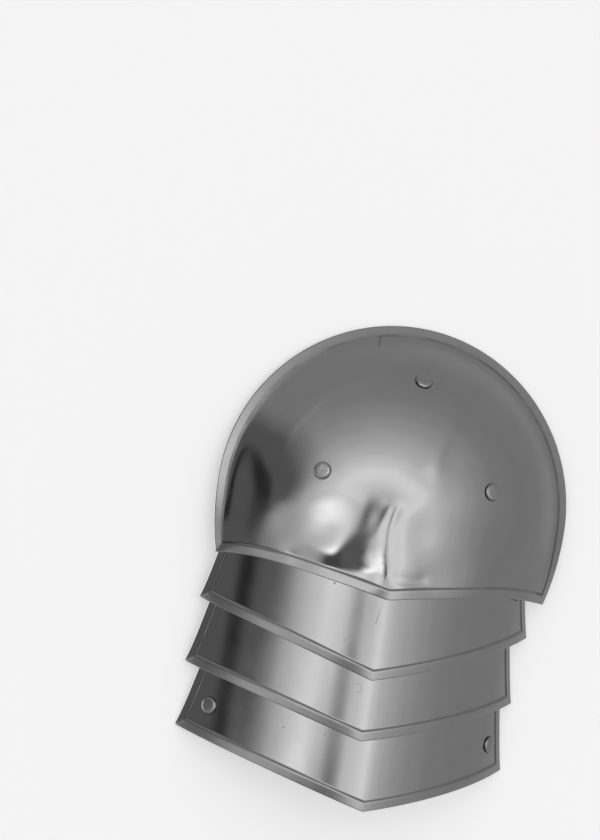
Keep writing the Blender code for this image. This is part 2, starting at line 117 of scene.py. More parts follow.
# Gaps between separate pieces
SEAT_GAP = 0.0004
LEATHER_GAP = 0.0006
EDGE_MARGIN = 0.004

# Taper of the lames' arch towards the neck, so that each one nests under the plate above it
LAME_TAPER = (NEST_GAP + PLATE - LIFT_STEP) / LAME_STEP

# Each lame hangs a little to one side and a little turned: lengths in shares of LAME_HALF_WIDTH
LAMES = (
    # name, steps below the first, lift in steps, across, ridge off centre, share of the point, turn in
    # degrees
    ("lame_1", 0, 2, -0.040, -0.022, 1.09, 1.8),
    ("lame_2", 1, 1, -0.056, 0.000, 0.94, 1.3),
    ("lame_3", 2, 0, -0.044, 0.075, 0.97, 0.6),
)

# Shown rivets at the ends of the leather strips, set by hand and so not quite even: places in the cop
# in shares of COP_RADIUS, and places in the last lame in shares of LAME_HALF_WIDTH
STRIPS = (
    # name, across and along in the cop, across and along in the last lame
    ("left", -0.495, 0.560, -0.835, 0.162),
    ("centre", 0.000, 1.127, None, None),
    ("right", 0.448, 0.600, 0.866, 0.162),
)

# Soft dents in the cop: places and radius in shares of COP_RADIUS, depth in shares of PLATE
DENTS = (
    # across, along, radius, depth
    (0.17, 0.06, 0.13, 0.55),
    (-0.16, 0.12, 0.16, 0.45),
    (0.02, 0.36, 0.20, 0.30),
)

# Marks of the hammer and the stake in the cop: height in millimetres, inwards where negative, half
# width and route, both in shares of COP_RADIUS
STROKES = (
    # the wedge beside the keel, and the sharp keel itself
    (-0.80, 0.075, ((-0.158, 0.421), (-0.155, 0.324), (-0.312, 0.089), (-0.189, 0.161), (-0.236, -0.058))),
    (0.69, 0.029, ((-0.080, 0.457), (-0.112, 0.308), (-0.095, 0.157), (-0.066, 0.083))),
    # the plate sinks into the foot of the lower border
    (-1.55, 0.060, ((-0.588, 0.077), (-0.401, 0.044), (-0.338, 0.041), (-0.132, 0.046))),
    (-0.90, 0.027, ((-0.041, 0.062), (0.083, 0.058), (0.146, 0.081))),
    # flatter and fuller parts of the dome
    (1.00, 0.135, ((-0.400, 0.160), (-0.050, 0.160))),
    (1.10, 0.121, ((0.302, 0.288), (0.502, 0.210), (0.381, -0.040))),
    (-1.10, 0.150, ((-0.489, 0.187), (-0.271, 0.498))),
    (0.90, 0.188, ((-0.615, 0.945), (-0.501, 1.074), (-0.303, 1.187), (-0.093, 1.048), (0.166, 1.110),
                   (0.324, 0.910))),
    (-1.00, 0.177, ((-0.742, 0.876), (-0.488, 0.442))),
    (0.26, 0.065, ((0.045, 0.510), (0.139, 0.574), (0.114, 0.759))),
    (-1.25, 0.105, ((0.076, 0.241), (0.080, 0.382))),
    # where the dome meets the flatter rim
    (0.60, 0.032, ((-0.744, 0.660), (-0.634, 0.850), (-0.515, 0.990), (-0.389, 1.078), (-0.240, 1.150),
                   (-0.075, 1.190))),
    (0.50, 0.042, ((0.160, 1.135), (0.191, 1.026), (0.161, 0.927), (0.115, 0.792), (0.088, 0.651))),
)
# Distance between the round marks that a stroke is made of, in shares of its half width
STROKE_STEP = 0.3

# The cop's point lies a little to the left of its ridge and is rounded
COP_TIP_ACROSS = -0.0055
COP_TIP_ROUND = 0.0016

# Where the model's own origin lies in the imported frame
SHIFT = Vector((0.00012985, -0.01061407, 0.00111886))

# Dense surfaces: distances from a plate's edge and from a lame's ridge at which they are divided, and the
# size of a cell or the count of cells in each quarter of the cop
EDGE_INSETS = (0.0, 0.00012, 0.0003, 0.0006, 0.0011, 0.0019, 0.0030, 0.0041, 0.0050, 0.0055, 0.0059, 0.0062,
               0.0065, 0.0068, 0.0071, 0.0074, 0.0078, 0.0084, 0.0095)
RIDGE_OFFSETS = (0.0008, 0.0018, 0.003, 0.0045, 0.0062)
LAME_CELL = 0.0021
NARROWEST_CELL_SHARE = 0.45
COP_CELLS = 132
COP_FIELD_INSETS = (0.0115, 0.0145, 0.018, 0.022, 0.0265, 0.0315)
LEATHER_SHARP_ANGLE = math.radians(50)
RIVET_SHARP_ANGLE = math.radians(40)

# The border in the dense surfaces: it is highest at its foot and leans outwards, least at the sides
LOWER_RAISE, LOWER_TILT = 0.0009, 0.11
SIDE_RAISE, SIDE_TILT = 0.00035, 0.035
# The cop's border is bent up on the left: the slope, and where this starts and how far it takes to reach
# that slope, in shares of the rim's way from the right corner over the top to the left one
LEFT_BEND = 0.29
LEFT_BEND_START, LEFT_BEND_LENGTH = 0.73, 0.24
FOOT_INSET, FOOT_WIDTH = 0.0053, 0.0018
EDGE_ROUND = 0.0005
MITRE_BLEND = 0.004
COP_MITRE_SHARE = 0.05
GROOVE = 0.0062

# Steps and limits of the small searches below
SLOPE_STEP = 0.0005
SEARCH_STEPS = 40
NEAR = 1e-6
LOWEST_CORNER_ANGLE = -0.9
TINY = 1e-10

# Colours, and the floor
STEEL = (0.42, 0.42, 0.425)
# Dark colour for scratches and marks, and for painted shade in the border's groove and round the rivet heads
STAIN_AND_SHADE = (0.10, 0.096, 0.092, 1.0)
PIT_COLOUR = (0.10, 0.095, 0.09, 1.0)
LEATHER_WAXED = (0.060, 0.030, 0.015, 1.0)
LEATHER_PLAIN = (0.135, 0.076, 0.042, 1.0)
LEATHER_RUBBED = (0.19, 0.12, 0.07, 1.0)
FLOOR_GREY = (0.83, 0.83, 0.83, 1.0)
WHITE = (1.0, 1.0, 1.0, 1.0)
FLOOR_GLOW = 0.36
FLOOR_SIZE = 12.0
FLOOR_DROP = 0.0002


def smooth(value):
    """Rise smoothly from 0 to 1 as the value goes from 0 to 1."""
    share = np.clip(value, 0.0, 1.0)
    return share * share * (3.0 - 2.0 * share)


def ridge_drop(across):
    """How far the plate has fallen from its rounded ridge, beyond the fall of its arch."""
    return RIDGE_SLOPE * (np.sqrt(across ** 2 + RIDGE_ROUND ** 2) - RIDGE_ROUND)


def arch_radius(half_width, rise):
    """Radius of the arch that falls by the rise at the half width, together with the ridge."""
    fall = rise - ridge_drop(half_width)
    return (half_width ** 2 + fall ** 2) / (2.0 * fall)


def arch_height(across, half_width, rise):
    """Height of a ridged arch that stands on z = 0 at the half width."""
    radius = arch_radius(half_width, rise)
    return rise - radius + np.sqrt(np.maximum(radius ** 2 - across ** 2, 0.0)) - ridge_drop(across)


def stroke_spots():
    """The strokes as round marks in a row: place, half width and height of each."""
    spots = []
    for height, half_width, route in STROKES:
        width = half_width * COP_RADIUS
        points = [Vector(point) * COP_RADIUS for point in route]
        for start, end in zip(points, points[1:]):
            length = (end - start).length
            steps = max(2, math.ceil(length / (STROKE_STEP * width)))
            share = 0.001 * height * length / steps / (width * math.sqrt(math.pi))
            for step in range(steps):
                spot = start.lerp(end, (step + 0.5) / steps)
                spots.append((spot.x, spot.y, width, share))
    return np.array(spots)


def stroke_height(across, along):
    """What the hammer strokes add to the cop's height, for one place or for many."""
    x, y, width, share = SPOTS.T
    away = np.subtract.outer(across, x) ** 2 + np.subtract.outer(along, y) ** 2
    return np.sum(share * np.exp(-away / width ** 2), axis=-1)


SPOTS = stroke_spots()


class Lame:
    """One arched plate, with its pattern, its place and its turn."""

    def __init__(self, name, steps, lift, across, ridge, point, turn):
        self.name = name
        self.point = point * LAME_POINT
        self.origin = Vector((across * LAME_HALF_WIDTH, -FIRST_STEP - steps * LAME_STEP, lift * LIFT_STEP))
        self.ridge = ridge * LAME_HALF_WIDTH
        self.turn = math.radians(turn)
        self.matrix = Matrix.Translation(self.origin) @ Matrix.Rotation(self.turn, 4, "Z")
        self.radius = arch_radius(LAME_HALF_WIDTH, LAME_RISE)
        self.half_arc = math.asin(LAME_HALF_WIDTH / self.radius)

    def edge_share(self, share):
        """Distance from the ridge in shares of that side's width, for a share from -1 to 1."""
        middle = math.asin(self.ridge / self.radius) / self.half_arc
        return np.where(share > middle, (share - middle) / (1.0 - middle), (middle - share) / (1.0 + middle))

    def lower(self, share):
        """Lower edge: a V whose sides bow in a little."""
        out = self.edge_share(share)
        left = share * self.half_arc * self.radius < self.ridge
        bow = np.where(left, LAME_EDGE_BOW_LEFT, LAME_EDGE_BOW_RIGHT)
        return bow * np.sin(math.pi * out) - self.point * (1.0 - out)

    def upper(self, share):
        """Upper edge, hidden under the plate above."""
        middle = LAME_RIDGE_LENGTH - LAME_POINT
        return middle + (LAME_SIDE_LENGTH - middle) * self.edge_share(share)

    def half_width(self, along):
        """Half width of the plate, whose side edges turn out a little at the lower corners."""
        hollow = LAME_SIDE_HOLLOW * (1.0 - np.exp(-np.maximum(along, 0.0) / LAME_SIDE_TURN))
        return LAME_HALF_WIDTH - LAME_FLARE_RATIO * along - hollow

    def surface(self, share, along):
        """Outer point of the plate, from the share of its width and the distance along its axis."""
        half = self.half_width(along)
        angle = share * np.arcsin(half / (self.radius - LAME_TAPER * along))
        across = (self.radius - LAME_TAPER * along) * np.sin(angle)
        return across, along, self.height(across, along)

    def height(self, across, along):
        """Outer height of the plate, in its own frame."""
        radius = self.radius - LAME_TAPER * along
        arch = np.sqrt(np.maximum(radius ** 2 - across ** 2, 0.0))
        return LAME_RISE - self.radius + arch - ridge_drop(across - self.ridge)

    def covers(self, across, along, margin):
        """Whether the plate lies over a place, or less than the margin beside it."""
        share = np.clip(across / self.half_width(along), -1.0, 1.0)
        return self.lower(share) - margin < along < self.upper(share) + margin


class Cop:
    """The domed shoulder plate. Its lower corners lie on y = 0."""

    name = "shoulder_cop"
    matrix = Matrix.Identity(4)

    def __init__(self):
        first = Lame(*LAMES[0])
        ridge_below = first.origin.z + float(first.height(first.ridge, FIRST_STEP - COP_POINT))
        self.rise = ridge_below + PLATE + NEST_GAP - COP_CORNER_LIFT
        self.fullness = LAME_HALF_WIDTH - math.sqrt(COP_RADIUS ** 2 - COP_CENTRE ** 2)

    def half_width(self, along):
        """Half width of the rim: a circle, a little fuller towards the lower corners."""
        below = np.maximum((COP_CENTRE - along) / COP_CENTRE, 0.0)
        circle = np.sqrt(np.maximum(COP_RADIUS ** 2 - (along - COP_CENTRE) ** 2, TINY))
        return circle + self.fullness * below ** 2

    def lower(self, across):
        """Lower edge: a flat bracket with a small point near the ridge."""
        out = np.abs(across) / LAME_HALF_WIDTH
        across = across - COP_TIP_ACROSS * np.clip(1.0 - out ** 2, 0.0, 1.0)
        share = (np.sqrt(across ** 2 + COP_TIP_ROUND ** 2) - COP_TIP_ROUND) / LAME_HALF_WIDTH
        shoulder = COP_SHOULDER * np.sin(math.pi * np.clip(share, 0.0, 1.0) ** 2)
        point = np.exp(-share / COP_POINT_SHARE) - share * math.exp(-1.0 / COP_POINT_SHARE)
        return shoulder - COP_POINT * point

    def height(self, across, along):
        """Outer height of the plate over the plane of its rim, plus the lift of its lower corners."""
        circle = np.sqrt(np.maximum(COP_RADIUS ** 2 - (along - COP_CENTRE) ** 2, TINY))
        squeeze = circle / self.half_width(along)
        reach = np.hypot(across * squeeze, along - COP_CENTRE)
        ball = COP_HEIGHT - COP_BALL_RADIUS + np.sqrt(np.maximum(COP_BALL_RADIUS ** 2 - reach ** 2, 0.0))
        rim = (COP_RADIUS - reach) * COP_RIM_SLOPE
        dome = 0.5 * (ball + rim + np.sqrt((ball - rim) ** 2 + COP_RIM_BLEND ** 2))
        arch_width = np.maximum(self.half_width(along), NARROWEST_ARCH_SHARE * LAME_HALF_WIDTH)
        arch = arch_height(across, arch_width, self.rise)
        share = smooth((COP_KEEL_LENGTH - along) / COP_KEEL_LENGTH)
        lift = COP_CORNER_LIFT * (1.0 - along / (COP_CENTRE + COP_RADIUS))
        height = dome * (1.0 - share) + arch * share + lift
        for dent_x, dent_y, radius, depth in DENTS:
            away = np.hypot(across - dent_x * COP_RADIUS, along - dent_y * COP_RADIUS) / (radius * COP_RADIUS)
            height = height - depth * PLATE * np.exp(-2.0 * away ** 2)
        return height + stroke_height(across, along)

    def covers(self, across, along, margin):
        inside = abs(across) < self.half_width(along) + margin
        return inside and along > self.lower(across) - margin

    def outline(self, inset, cells):
        """Closed ring in plan at an inset from the rim: right, top, left and lower side in turn."""
        corner = self.corner(inset)
        start = math.atan2(corner[1] - COP_CENTRE, corner[0])
        points = []
        for step in range(3 * cells):
            angle = start + (math.pi - 2.0 * start) * step / (3 * cells)
            points.append(self.rim_point(angle, inset))
        for step in range(cells):
            across = corner[0] * (2.0 * step / cells - 1.0)
            points.append((across, float(self.lower(across)) + inset))
        return points

    def rim_point(self, angle, inset):
        """Point of the inset rim in a direction from the cop's centre."""
        reach = COP_RADIUS
        if math.sin(angle) < 0.0:
            for _ in range(SEARCH_STEPS):
                along = COP_CENTRE + reach * math.sin(angle)
                reach = float(self.half_width(along)) / abs(math.cos(angle))
        reach -= inset * self.foreshortening(angle)
        return reach * math.cos(angle), COP_CENTRE + reach * math.sin(angle)

    def foreshortening(self, angle):
        """The border's width in plan: it stands steeper near the lower corners."""
        return BORDER_PLAN_SHARE - BORDER_LOSS_SHARE * float(smooth(-math.sin(angle) / BORDER_LOSS_SINE))

    def corner(self, inset):
        """Where the inset rim meets the inset lower edge."""
        low, high = LOWEST_CORNER_ANGLE, 0.0
        for _ in range(SEARCH_STEPS):
            middle = 0.5 * (low + high)
            across, along = self.rim_point(middle, inset)
            if along < float(self.lower(across)) + inset:
                low = middle
            else:
                high = middle
        return self.rim_point(high, inset)


def local_place(plate, spot):
    """A spot of the ground plane in a plate's own frame."""
    return plate.matrix.inverted() @ Vector((spot[0], spot[1], 0.0))


def world_height(plate, spot):
    """Outer height of a plate above a spot of the ground plane."""
    local = local_place(plate, spot)
    return float(plate.height(local.x, local.y)) + plate.matrix.translation.z


def outer_point(plate, spot):
    """Point of a plate's outer side above a spot of the ground plane."""
    return Vector((spot[0], spot[1], world_height(plate, spot)))


def world_normal(plate, spot):
    """Outer normal of a plate above a spot of the ground plane."""
    x, y = spot[0], spot[1]
    rise_x = world_height(plate, (x + SLOPE_STEP, y)) - world_height(plate, (x - SLOPE_STEP, y))
    rise_y = world_height(plate, (x, y + SLOPE_STEP)) - world_height(plate, (x, y - SLOPE_STEP))
    return Vector((-rise_x, -rise_y, 2 * SLOPE_STEP)).normalized()


def lowest_plate(plates, spot, margin):
    """The innermost of the plates that lie over a spot."""
    over = [plate for plate in plates if plate.covers(*local_place(plate, spot).xy, margin)]
    return min(over, key=lambda plate: world_height(plate, spot))


def extra_depth(plates, middle, normal, side):
    """How much deeper a strip's cross-section has to lie to clear every plate over it."""
    needed = PLATE + LEATHER_GAP + LEATHER_THICKNESS / 2
    short = 0.0
    for share in (-1.0, -0.5, 0.0, 0.5, 1.0):
        point = middle + side * share * LEATHER_WIDTH / 2
        clear = world_height(lowest_plate(plates, point, EDGE_MARGIN), point) - point.z
        short = max(short, needed - clear * normal.z)
    return short


def flat_run(plates, plate, spot, direction, before, after):
    """Three cross-sections of a strip that lies flat where a rivet holds it to its plate."""
    normal = world_normal(plate, spot)
    outer = outer_point(plate, spot)
    along = (direction - normal * direction.dot(normal)).normalized()
    side = along.cross(normal)
    middle = outer - normal * (PLATE + LEATHER_GAP + LEATHER_THICKNESS / 2)
    places = (-before, 0.0, after)
    deeper = max(extra_depth(plates, middle + along * place, normal, side) for place in places)
    middle = middle - normal * deeper
    grip = (outer - middle).dot(normal) + LEATHER_THICKNESS / 2
    return [(middle + along * place, normal, side) for place in places], grip


def free_section(plates, spot, direction):
    """Cross-section of a strip that only follows the innermost plate over it."""
    plate = lowest_plate(plates, spot, EDGE_MARGIN)
    sections, _ = flat_run(plates, plate, spot, direction, 0.0, 0.0)
    return sections[0]


def lame_spot(lame, across, along):
    """Spot of the ground plane for a place in a lame's own pattern."""
    point = lame.matrix @ Vector((across, along, 0.0))
    return point.x, point.y


def hidden_spot(lame, first, last):
    """Where a straight route from first to last crosses the line of a lame's hidden rivets."""
    low, high = 0.0, 1.0
    for _ in range(SEARCH_STEPS):
        middle = 0.5 * (low + high)
        local = local_place(lame, Vector(first).lerp(Vector(last), middle))
        share = local.x / lame.half_width(local.y)
        if local.y > float(lame.upper(share)) - HIDDEN_RIVET_INSET:
            low = middle
        else:
            high = middle
    return tuple(Vector(first).lerp(Vector(last), high))


def strip_plan(cop, lames, cop_across, cop_along, lame_across, lame_along):
    """Where one leather strip is held or passes an edge, from the cop down to the last lame.

    Each row is a plate, a spot and what is there: a shown rivet, a hidden rivet or only a passed edge.
    """
    end = lames[-1]
    first = (cop_across * COP_RADIUS, cop_along * COP_RADIUS)
    if lame_across is None:
        last = lame_spot(end, end.ridge, 0.0)
    else:
        last = lame_spot(end, lame_across * LAME_HALF_WIDTH, lame_along * LAME_HALF_WIDTH)
    seats = [(cop, first, "shown")]
    seats += [(lame, hidden_spot(lame, first, last), "hidden") for lame in lames[:-1]]
    if lame_across is None:
        seats.append((end, hidden_spot(end, first, last), "hidden"))
    else:
        seats.append((end, hidden_spot(end, first, last), "passed"))
        seats.append((end, last, "shown"))
    return seats


def strip_sections(plates, seats):
    """Cross-sections of a strip past all its rivets, and the grip of each rivet."""
    rivets = [Vector((spot[0], spot[1], 0.0)) for _, spot, _ in seats]
    sections = []
    grips = []
    for number, (plate, _, _) in enumerate(seats):
        before = rivets[max(number - 1, 0)]
        after = rivets[min(number + 1, len(rivets) - 1)]
        direction = (after - before).normalized()
        up = HIDDEN_RIVET_INSET + EDGE_MARGIN if number else LEATHER_END
        down = LEATHER_END if number == len(seats) - 1 else LEATHER_FLAT
        run, grip = flat_run(plates, plate, rivets[number], direction, up, down)
        sections += run
        grips.append(grip)
        if number == 0:
            start = rivets[0] + direction * down
            end = rivets[1] - direction * (HIDDEN_RIVET_INSET + EDGE_MARGIN)
            for share in COP_STRIP_SHARES:
                sections.append(free_section(plates, start.lerp(end, share), direction))
    return sections, grips


def border_profile(inset, lower, side_tilt=SIDE_TILT):
    """Height of the raised border over the plate, with a rolled outer edge and a soft foot.

    The share "lower" goes from 0 at the sides to 1 at the lower edge. side_tilt is the slope at the sides.
    """
    raised = SIDE_RAISE + (LOWER_RAISE - SIDE_RAISE) * lower
    tilt = side_tilt + (LOWER_TILT - side_tilt) * lower
    top = raised - tilt * np.clip(FOOT_INSET - inset, 0.0, FOOT_INSET)
    foot = 1.0 - smooth((inset - FOOT_INSET) / FOOT_WIDTH)
    near = np.clip(EDGE_ROUND - inset, 0.0, EDGE_ROUND)
    roll = EDGE_ROUND - np.sqrt(EDGE_ROUND ** 2 - near ** 2)
    return top * foot - roll


def add_piece(name, points, faces, materials):
    """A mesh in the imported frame."""
    mesh = bpy.data.meshes.new(name)
    mesh.from_pydata([tuple(point) for point in points], [], faces)
    mesh.validate()
    mesh.shade_smooth()
    for item in materials:
        mesh.materials.append(item)
    made = bpy.data.objects.new(name, mesh)
    bpy.context.scene.collection.objects.link(made)
    return made


def store(piece, name, values):
    """Keep one number for each point, for the material."""
    layer = piece.data.attributes.new(name, "FLOAT", "POINT")
    layer.data.foreach_set("value", np.array(values, dtype=np.float32))


def wall(piece):
    """Give a sheet its wall, inwards, with the inner side in the second material."""
    solid = piece.modifiers.new("Wall", "SOLIDIFY")
    solid.thickness = PLATE
    solid.offset = -1.0
    solid.use_even_offset = False
    solid.material_offset = 1
    solid.material_offset_rim = 0


def band_faces(rings, around):
    """Faces between rings of points, each ring closed."""
    faces = []
    for ring in range(rings - 1):
        for step in range(around):
            after = (step + 1) % around
            faces.append((ring * around + step, (ring + 1) * around + step,
                          (ring + 1) * around + after, ring * around + after))
    return faces


def merged(values, gap):
    """Sorted values without near doubles."""
    kept = []
    for value in sorted(values):
        if not kept or value - kept[-1] > gap:
            kept.append(value)
    return kept


def dense_columns(lame):
    """Shares of a lame's width at which it is divided: close at its edges and its ridge, even between."""
    half_arc_length = lame.radius * lame.half_arc
    middle = math.asin(lame.ridge / lame.radius) / lame.half_arc
    fixed = {middle}
    for side in (-1.0, 1.0):
        fixed.update(side * (1.0 - inset / half_arc_length) for inset in EDGE_INSETS)
        fixed.update(middle + side * offset / half_arc_length for offset in RIDGE_OFFSETS)
    edge = 1.0 - EDGE_INSETS[-1] / half_arc_length
    count = int(2.0 * edge * half_arc_length / LAME_CELL)
    for share in np.linspace(-edge, edge, count + 1):
        nearest = min(abs(share - other) for other in fixed) * half_arc_length
        if nearest > NARROWEST_CELL_SHARE * LAME_CELL:
            fixed.add(float(share))
    return np.array(merged(fixed, NEAR))


def dense_lame(lame, materials):
    """A lame with its raised border, divided in columns across it and rows along it."""
    columns = dense_columns(lame)
    low = lame.lower(columns)
    high = lame.upper(columns)
    side_inset = (1.0 - np.abs(columns)) * lame.radius * lame.half_arc
    rows = [low + inset for inset in EDGE_INSETS]
    count = int((LAME_RIDGE_LENGTH - EDGE_INSETS[-1]) / LAME_CELL)
    for step in range(1, count + 1):
        share = step / count
        rows.append(rows[len(EDGE_INSETS) - 1] * (1.0 - share) + high * share)
    points, insets, bands, sides = [], [], [], []
    place = Matrix.Translation(SHIFT) @ lame.matrix
    turn = np.array(place.to_3x3())
    shift = np.array(place.translation)
    for along in rows:
        across, along, height = lame.surface(columns, along)
        inset = np.minimum(side_inset, along - low)
        lower = smooth((side_inset - (along - low)) / MITRE_BLEND + 0.5)
        raised = border_profile(inset, lower)
        radius = lame.radius - LAME_TAPER * along
        row = np.stack([across + raised * across / radius, along,
                        height + raised * np.sqrt(1.0 - (across / radius) ** 2)], axis=1)
        points.append(row @ turn.T + shift)
        insets.append(inset)
        bands.append(np.maximum(lower, smooth(columns + 0.5)))
        sides.append(1.0 - lower)
    width = len(columns)
    faces = []
    for row in range(len(rows) - 1):
        for column in range(width - 1):
            first = row * width + column
            faces.append((first, first + 1, first + width + 1, first + width))
    piece = add_piece(lame.name + "_plate", np.concatenate(points), faces, materials)
    store(piece, "inset_mm", np.concatenate(insets) * 1000.0)
    store(piece, "satin", np.concatenate(bands))
    store(piece, "side", np.concatenate(sides))
    wall(piece)
    return piece


def dense_cop(cop, materials):
    """The cop with its raised border: rings along its rim, and a grid inside the last ring."""
    cells = COP_CELLS
    insets = EDGE_INSETS + COP_FIELD_INSETS
    plan, plan_insets = [], []
    from_corner = np.minimum(np.arange(cells), cells - np.arange(cells))
    lower = np.concatenate([np.zeros(3 * cells), smooth(from_corner / (COP_MITRE_SHARE * cells))])
    way_round = np.arange(3 * cells) / (3 * cells)
    bent = smooth((way_round - LEFT_BEND_START) / LEFT_BEND_LENGTH)
    bent = np.concatenate([bent, np.arange(cells) < cells / 2])
    around = 4 * cells
    for inset in insets:
        plan += cop.outline(inset, cells)
        plan_insets += [inset] * around
    faces = [(a, d, c, b) for a, b, c, d in band_faces(len(insets), around)]
    field_cells(plan, plan_insets, faces, (len(insets) - 1) * around, cells)
    plan = np.array(plan)
    plan_insets = np.array(plan_insets)
    inner = np.zeros(len(plan) - around * len(insets))
    lower = np.concatenate([np.tile(lower, len(insets)), inner])
    bent = np.concatenate([np.tile(bent, len(insets)), inner])
    border = border_profile(plan_insets, lower, SIDE_TILT - LEFT_BEND * bent)
    height = cop.height(plan[:, 0], plan[:, 1]) + border
    points = np.column_stack([plan, height]) + np.array(SHIFT)
    piece = add_piece(cop.name + "_plate", points, faces, materials)
    store(piece, "inset_mm", plan_insets * 1000.0)
    store(piece, "satin", np.ones(len(plan)))
    store(piece, "side", 1.0 - lower)
    wall(piece)
    return piece


def field_cells(plan, plan_insets, faces, first, cells):
    """Fill the innermost ring with a grid that meets its points, blended between the four sides."""
    ring = [np.array(point) for point in plan[first:first + 4 * cells]]
    right = ring[0:cells + 1]
    top = ring[cells:2 * cells + 1]
    left = ring[2 * cells:3 * cells + 1]
    lower = ring[3 * cells:] + [ring[0]]
    index = {}
    for row in range(cells + 1):
        for column in range(cells + 1):
            if column == cells:
                index[row, column] = first + row
            elif row == cells:
                index[row, column] = first + cells + (cells - column)
            elif column == 0:
                index[row, column] = first + 3 * cells - row
            elif row == 0:
                index[row, column] = first + 3 * cells + column
            else:
                u, v = column / cells, row / cells
                sides = (1 - u) * left[cells - row] + u * right[row]
                ends = (1 - v) * lower[column] + v * top[cells - column]
                corners = ((1 - u) * (1 - v) * lower[0] + u * (1 - v) * right[0]
                           + (1 - u) * v * left[0] + u * v * top[0])
                across, along = sides + ends - corners
                index[row, column] = len(plan)
                plan.append((across, along))
                plan_insets.append(COP_FIELD_INSETS[-1])
    for row in range(cells):
        for column in range(cells):
            faces.append((index[row, column], index[row, column + 1],
                          index[row + 1, column + 1], index[row + 1, column]))


def dense_strip(name, sections, materials):
    """A leather strip with rounded edges, lofted through its cross-sections."""
    half, deep = LEATHER_WIDTH / 2 - LEATHER_BEVEL, LEATHER_THICKNESS / 2 - LEATHER_BEVEL
    outline = []
    for x, y, start in ((half, -deep, -90), (half, deep, 0), (-half, deep, 90), (-half, -deep, 180)):
        for step in range(LEATHER_BEVEL_STEPS + 1):
            angle = math.radians(start + 90 * step / LEATHER_BEVEL_STEPS)
            outline.append((x + LEATHER_BEVEL * math.cos(angle), y + LEATHER_BEVEL * math.sin(angle)))
    points = []
    for middle, normal, side in sections:
        for across, up in outline:
            points.append(middle + side * across + normal * up + SHIFT)
    around = len(outline)
    last = around * (len(sections) - 1)
    faces = [tuple(range(around))] + band_faces(len(sections), around)
    faces.append(tuple(last + corner for corner in reversed(range(around))))
    piece = add_piece(name, points, faces, materials)
    work = bmesh.new()
    work.from_mesh(piece.data)
    bmesh.ops.recalc_face_normals(work, faces=work.faces)
    work.to_mesh(piece.data)
    work.free()
    piece.data.set_sharp_from_angle(angle=LEATHER_SHARP_ANGLE)
    return piece


def dense_rivet(name, plate, spot, hidden, grip, materials):
    """A flat hammered head with a rounded edge, its shank, and the burr inside."""
    radius = HIDDEN_HEAD_RADIUS if hidden else RIVET_HEAD_RADIUS
    height = HIDDEN_HEAD_HEIGHT if hidden else RIVET_HEAD_HEIGHT
    grip = grip + 2 * SEAT_GAP
    foot_level = -grip - BURR_HEIGHT
    profile = [(reach * radius, level * height) for reach, level in HEAD_PROFILE]
    profile += [(SHANK_RADIUS, 0.0), (SHANK_RADIUS, -grip), (BURR_RADIUS - BURR_LIP, -grip),
                (BURR_RADIUS, -grip - BURR_LIP), (BURR_RADIUS, foot_level + BURR_SIDE_ROUND),
                (BURR_RADIUS - BURR_ROUND, foot_level)]
    sides = RIVET_SIDES
    points = []
    for reach, level in profile:
        for step in range(sides):
            angle = 2 * math.pi * step / sides
            uneven = 1.0 + sum(size * math.sin(waves * angle + start) for waves, size, start in HEAD_UNEVEN)
            points.append((reach * uneven * math.cos(angle), reach * uneven * math.sin(angle), level))
    top, foot = len(points), len(points) + 1
    points += [(0.0, 0.0, height), (0.0, 0.0, foot_level)]
    last = (len(profile) - 1) * sides
    faces = band_faces(len(profile), sides)
    for step in range(sides):
        after = (step + 1) % sides
        faces += [(top, step, after), (foot, last + after, last + step)]
    normal = world_normal(plate, spot)
    turn = Vector((0.0, 0.0, 1.0)).rotation_difference(normal).to_matrix()
    place = outer_point(plate, spot) + normal * SEAT_GAP + SHIFT
    points = [turn @ Vector(point) + place for point in points]
    piece = add_piece(name, points, faces, materials)
    piece.data.set_sharp_from_angle(angle=RIVET_SHARP_ANGLE)
    return piece


